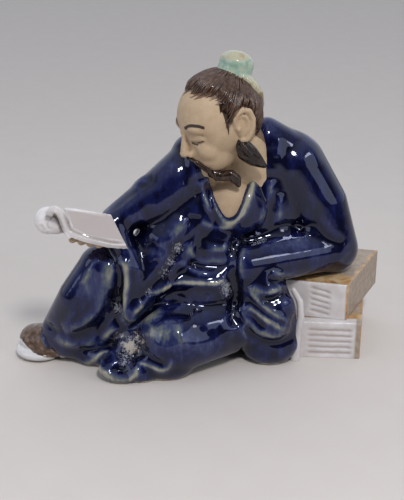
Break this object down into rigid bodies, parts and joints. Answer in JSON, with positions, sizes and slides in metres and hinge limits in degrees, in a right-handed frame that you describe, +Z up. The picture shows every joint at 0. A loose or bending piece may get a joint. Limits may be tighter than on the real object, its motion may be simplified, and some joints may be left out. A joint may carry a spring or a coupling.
{
  "type": "mudman figurine",
  "caption": "Glazed stoneware figurine of a seated scholar leaning on stacked books and reading from an open one, on a flat base.",
  "frame": {"origin": "on the flat base, below the middle of the seated figure", "axes": "+X to the right as the figure is seen from its front, along its width; +Y away from the viewer, to its back; +Z up"},
  "size_m": [0.1613, 0.074, 0.1311],
  "materials": {
    "cobalt_glaze": "glossy dark cobalt blue glaze that breaks to olive and cream on the ridges of the folds",
    "white_glaze": "satin white glaze of the books and the shoe's sole, brown where it pools along their edges",
    "bare_clay": "unglazed matte tan clay of the face, throat and hand",
    "brown_slip": "brushed dark brown slip of the hair, beard and shoe, with a soft shine",
    "celadon_glaze": "pale green glaze of the topknot's band and knob"
  },
  "bodies": {
    "root": {"figurine": "cobalt_glaze"}
  },
  "joints": []
}
